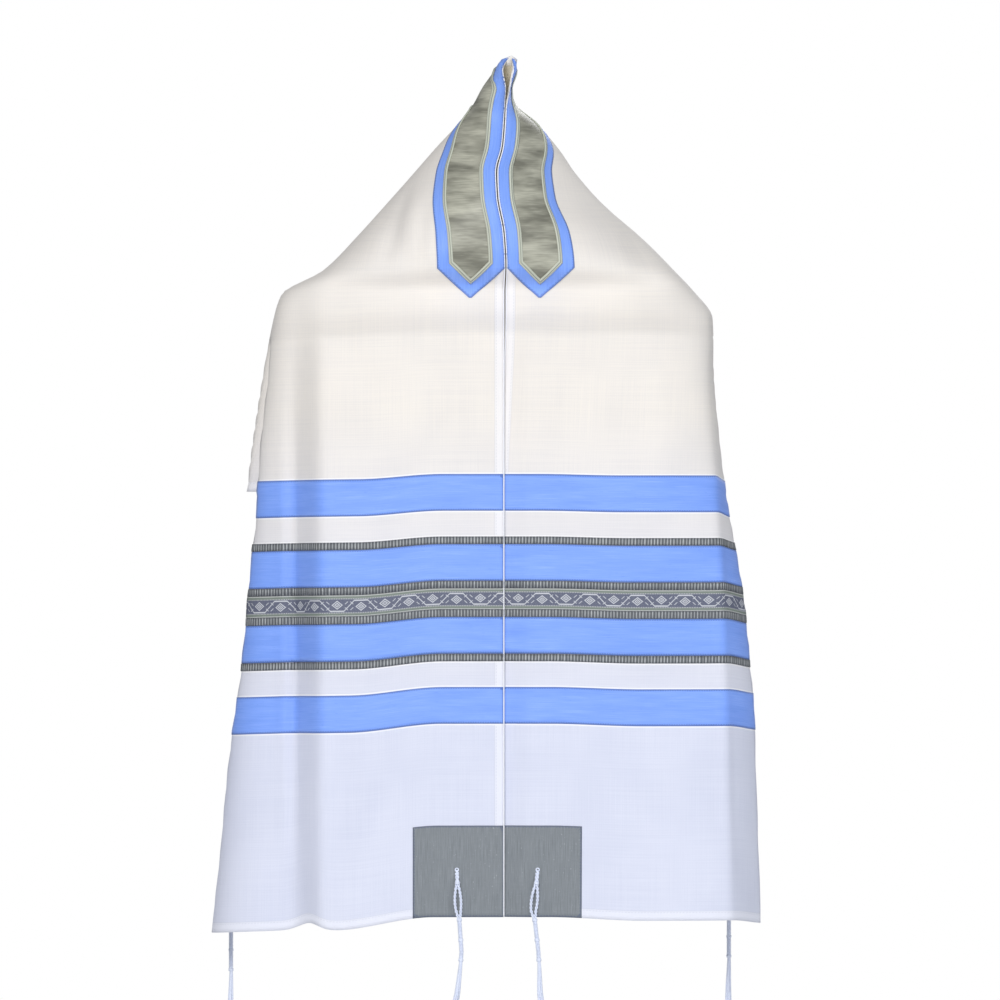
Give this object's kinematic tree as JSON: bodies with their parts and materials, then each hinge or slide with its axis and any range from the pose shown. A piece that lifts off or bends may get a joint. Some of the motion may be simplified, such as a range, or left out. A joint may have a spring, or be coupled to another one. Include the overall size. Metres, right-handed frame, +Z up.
{
  "type": "tallit prayer shawl",
  "caption": "White prayer shawl hanging from its neckband, with blue and grey bands, corner patches and knotted fringes.",
  "frame": {"origin": "peak of the shawl: the middle of the neckband's edge, by which it hangs", "axes": "+Z up along the hanging shawl, its front towards -Y, its left end as seen from the front towards -X"},
  "size_m": [0.584, 0.2269, 1.1446],
  "materials": {
    "cloth": "fine woven wool, matt",
    "blue_silk": "slubbed silk with a low sheen",
    "patch_silk": "slubbed silk, matt",
    "panel_silk": "silk shot with bright thread",
    "ribbed_trim": "ribbed woven braid",
    "woven_ribbon": "jacquard ribbon with a diamond repeat",
    "string": "spun wool string"
  },
  "bodies": {
    "root": {"shawl_cloth": "cloth", "neckband_border": "blue_silk", "neckband_panel": "panel_silk", "band_upper_left": "blue_silk", "trim_a_left": "ribbed_trim", "band_middle_upper_left": "blue_silk", "trim_b_left": "ribbed_trim", "ribbon_left": "woven_ribbon", "trim_c_left": "ribbed_trim", "band_middle_lower_left": "blue_silk", "trim_d_left": "ribbed_trim", "band_lower_left": "blue_silk", "patch_front_left": "patch_silk", "fringe_front_left": "string", "patch_back_left": "patch_silk", "fringe_back_left": "string", "band_upper_right": "blue_silk", "trim_a_right": "ribbed_trim", "band_middle_upper_right": "blue_silk", "trim_b_right": "ribbed_trim", "ribbon_right": "woven_ribbon", "trim_c_right": "ribbed_trim", "band_middle_lower_right": "blue_silk", "trim_d_right": "ribbed_trim", "band_lower_right": "blue_silk", "patch_front_right": "patch_silk", "fringe_front_right": "string", "patch_back_right": "patch_silk", "fringe_back_right": "string"}
  },
  "joints": []
}
